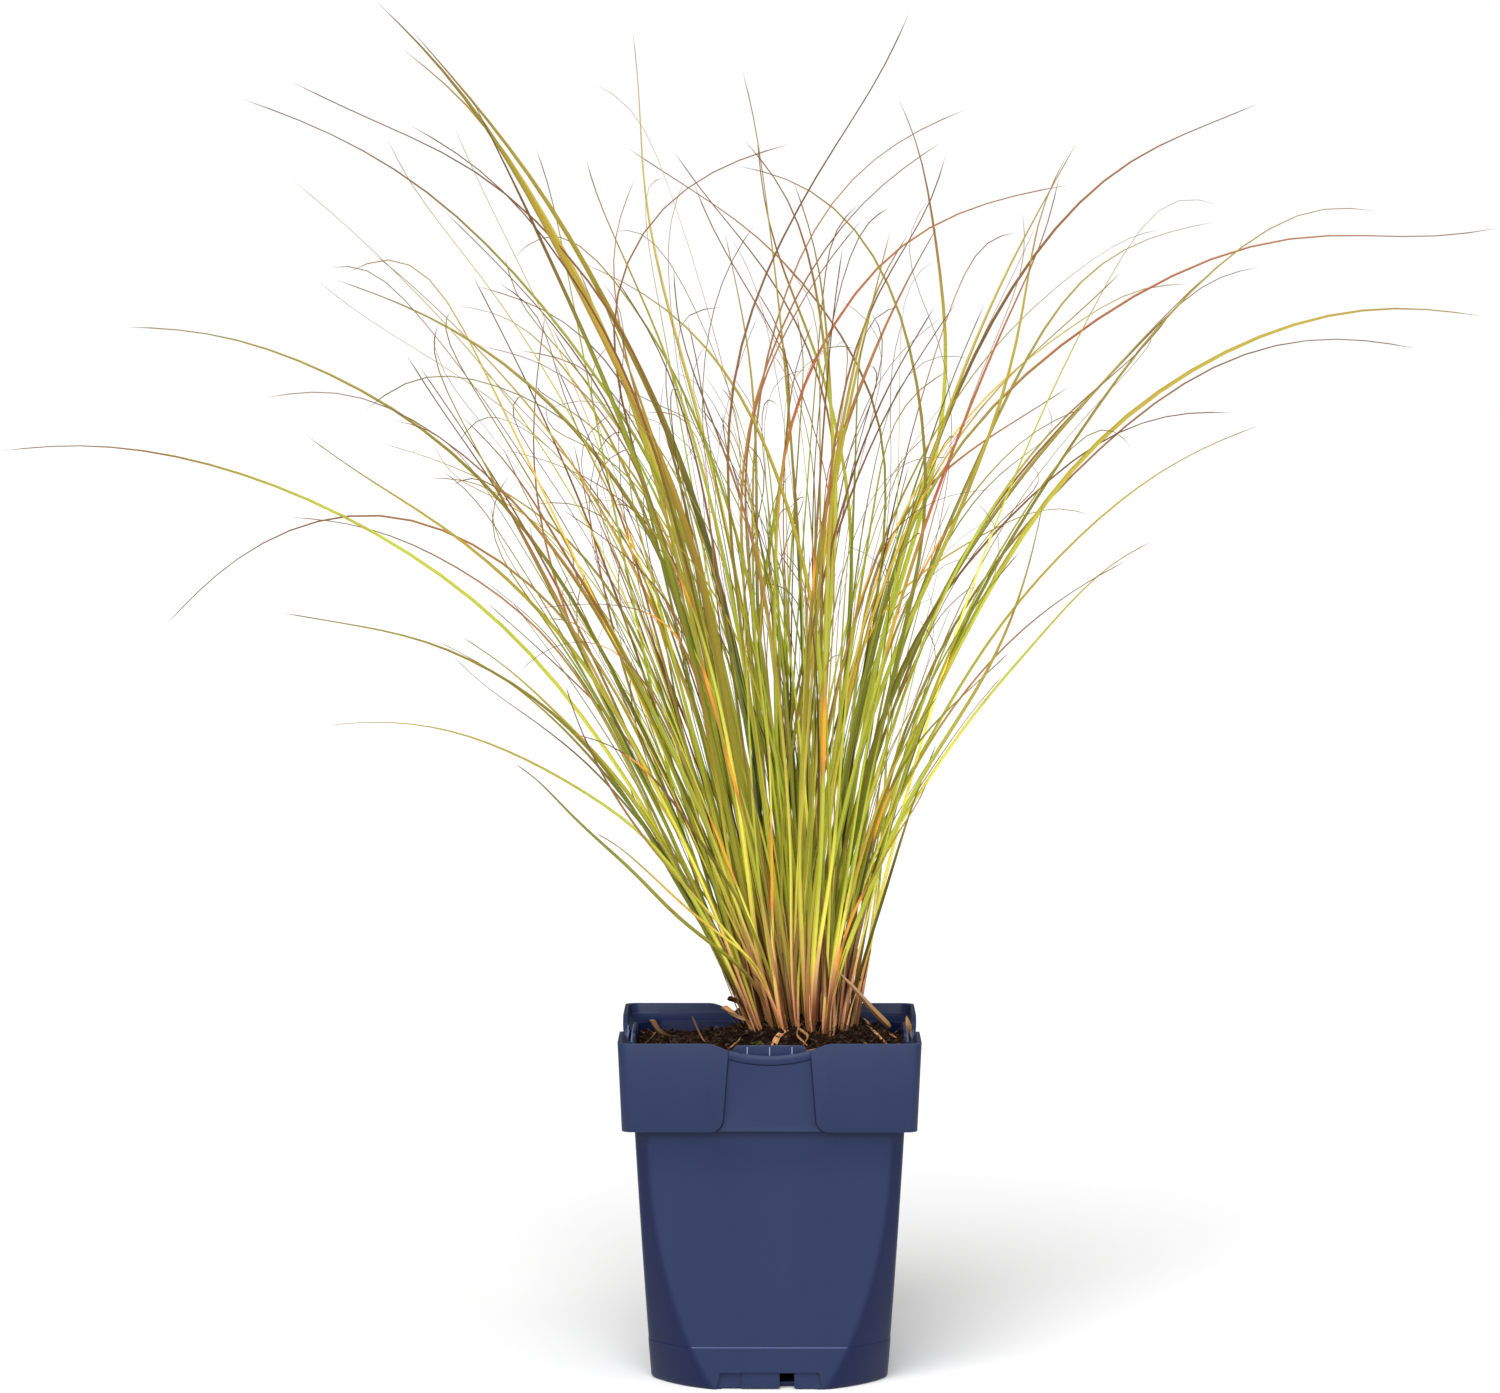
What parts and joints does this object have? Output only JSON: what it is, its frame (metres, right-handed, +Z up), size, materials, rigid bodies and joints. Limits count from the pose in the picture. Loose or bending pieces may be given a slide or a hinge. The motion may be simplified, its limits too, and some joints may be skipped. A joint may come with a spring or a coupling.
{
  "type": "potted sedge",
  "caption": "Tufted sedge with narrow arching olive, bronze and orange blades, standing in a tapered square nursery pot with a deep collar, filled with dark potting mix.",
  "frame": {"origin": "centre of the pot's underside", "axes": "+Z up, -Y towards the front of the pot, +X to the right seen from the front, the longest way across the leaves"},
  "size_m": [0.7111, 0.5956, 0.6405],
  "materials": {
    "pot": "satin",
    "soil": "matte",
    "leaf_green": "satin",
    "leaf_olive": "satin",
    "leaf_bronze": "satin",
    "leaf_gold": "satin",
    "dry_straw": "matte"
  },
  "bodies": {
    "root": {"pot": "pot", "soil": "soil", "tiller_01": "leaf_green", "tiller_02": "leaf_olive", "tiller_03": "leaf_bronze", "tiller_04": "leaf_gold", "tiller_05": "leaf_green", "tiller_06": "leaf_olive", "tiller_07": "leaf_bronze", "tiller_08": "leaf_gold", "tiller_09": "leaf_green", "tiller_10": "leaf_olive", "tiller_11": "leaf_bronze", "tiller_12": "leaf_gold", "tiller_13": "leaf_green", "tiller_14": "leaf_olive", "tiller_15": "leaf_bronze", "tiller_16": "leaf_gold", "tiller_17": "leaf_green", "tiller_18": "leaf_olive", "tiller_19": "leaf_bronze", "tiller_20": "leaf_gold", "tiller_21": "leaf_green", "tiller_22": "leaf_olive", "tiller_23": "leaf_bronze", "tiller_24": "leaf_gold", "tiller_25": "leaf_green", "tiller_26": "leaf_olive", "tiller_27": "leaf_bronze", "tiller_28": "leaf_gold", "tiller_29": "leaf_green", "tiller_30": "leaf_olive", "tiller_31": "leaf_bronze", "tiller_32": "leaf_gold", "tiller_33": "leaf_green", "tiller_34": "leaf_olive", "tiller_35": "leaf_bronze", "tiller_36": "leaf_gold", "dry_straw_1": "dry_straw", "dry_straw_2": "dry_straw", "dry_straw_3": "dry_straw", "dry_straw_4": "dry_straw", "dry_straw_5": "dry_straw", "dry_straw_6": "dry_straw", "dry_straw_7": "dry_straw", "dry_straw_8": "dry_straw"}
  },
  "joints": []
}
